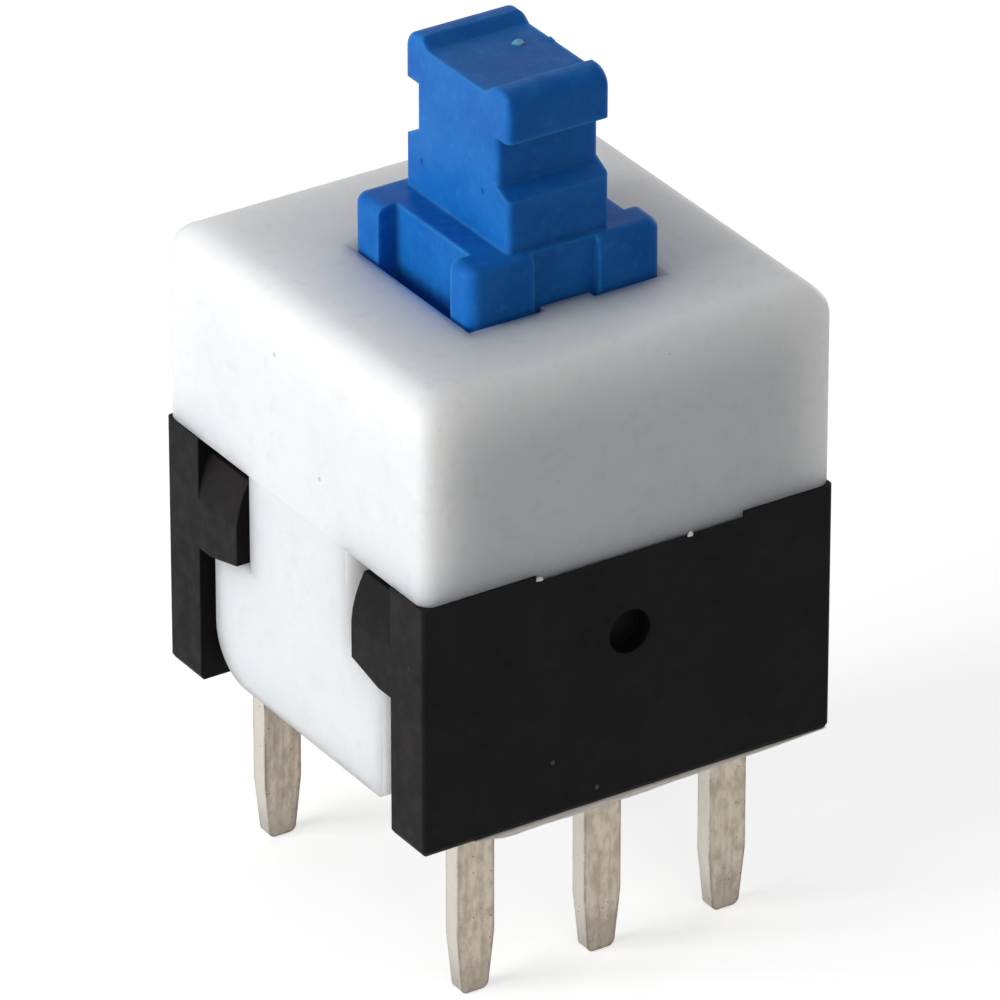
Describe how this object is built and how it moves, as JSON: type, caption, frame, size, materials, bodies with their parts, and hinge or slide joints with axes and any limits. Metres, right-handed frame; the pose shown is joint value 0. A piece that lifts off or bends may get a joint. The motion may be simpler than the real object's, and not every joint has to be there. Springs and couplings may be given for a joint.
{
  "type": "momentary push switch",
  "caption": "Small through-hole momentary push switch: white cover snapped on a black base, with a sprung blue plunger that takes a cap and changeover contacts inside.",
  "frame": {"origin": "centre of the base's underside, at the plane where it seats on a board", "axes": "+Z along the plunger, out of the cover; X along a row of pins; -Y towards the wall with the round gate recess"},
  "size_m": [0.008, 0.008, 0.0155],
  "materials": {
    "black_plastic": "moulded black plastic, fine satin",
    "white_plastic": "moulded white plastic, slightly translucent",
    "blue_plastic": "moulded blue plastic, soft gloss",
    "spring_steel": "bright drawn spring wire",
    "tinned_brass": "dull tin-plated stamped brass, slightly tarnished",
    "contact_bronze": "silver-plated spring bronze"
  },
  "bodies": {
    "housing": {"base": "black_plastic", "cover": "white_plastic", "return_spring": "spring_steel", "front_normally_closed_terminal": "tinned_brass", "front_common_terminal": "tinned_brass", "front_normally_open_terminal": "tinned_brass", "rear_normally_closed_terminal": "tinned_brass", "rear_common_terminal": "tinned_brass", "rear_normally_open_terminal": "tinned_brass"},
    "button": {"plunger": "blue_plastic", "front_moving_contact": "contact_bronze", "rear_moving_contact": "contact_bronze"}
  },
  "joints": [
    {"name": "plunger_press", "type": "slide", "parent": "housing", "child": "button", "axis": [0, 0, -1], "range_m": [0, 0.0022], "stiffness_N_per_m": 450, "springref_m": -0.0022, "deforming": ["return_spring"]}
  ]
}
